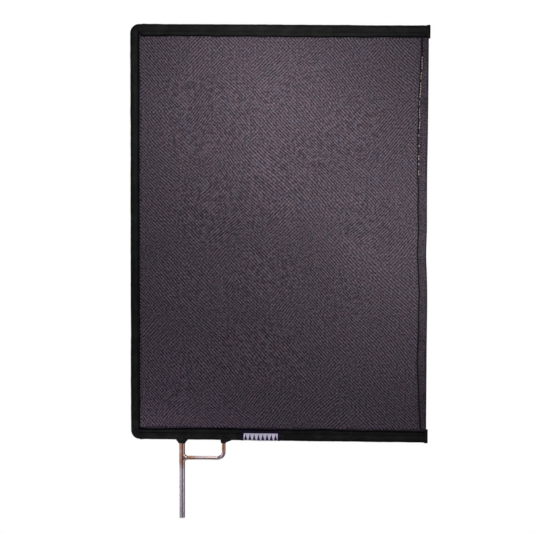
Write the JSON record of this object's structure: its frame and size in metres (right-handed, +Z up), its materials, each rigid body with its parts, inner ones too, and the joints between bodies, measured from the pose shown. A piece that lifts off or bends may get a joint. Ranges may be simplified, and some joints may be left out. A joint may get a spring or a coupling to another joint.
{
  "type": "open-end net scrim",
  "caption": "Three-sided rod frame in sewn tape with a double net, one side left open on a thin wire, and a braced round mounting pin below.",
  "frame": {"origin": "on the mounting pin's axis, at the middle of the free length that a grip head clamps", "axes": "+Z up along the pin towards the net, +X towards the open edge, -Y out of the front face (the label's side)"},
  "size_m": [0.4619, 0.0124, 0.7721],
  "materials": {
    "frame_steel": "drawn steel rod, hidden in the tape",
    "pin_steel": "satin stainless with brown weld heat tint near the joints",
    "weld": "tinted weld metal",
    "spring_wire": "drawn spring wire",
    "net": "open-mesh polyester net, dark purplish grey",
    "tape": "matt black woven tape",
    "label": "woven label, navy and white",
    "thread": "sewing thread"
  },
  "bodies": {
    "root": {"frame_rod": "frame_steel", "mounting_pin": "pin_steel", "brace_rod": "pin_steel", "weld_pin_to_frame": "weld", "weld_brace_to_frame": "weld", "weld_brace_to_pin": "weld", "edge_wire": "spring_wire", "net_front": "net", "net_back": "net", "hem_strip": "net", "binding_left": "tape", "binding_top": "tape", "binding_bottom": "tape", "pin_cuff": "tape", "brace_cuff": "tape", "end_tab_top": "tape", "end_tab_bottom": "tape", "blank_label": "label", "seam_thread_left": "thread", "seam_thread_top": "thread", "seam_thread_bottom": "thread", "hem_thread": "thread", "label_thread": "thread", "tab_thread_top": "thread", "tab_thread_bottom": "thread"}
  },
  "joints": []
}
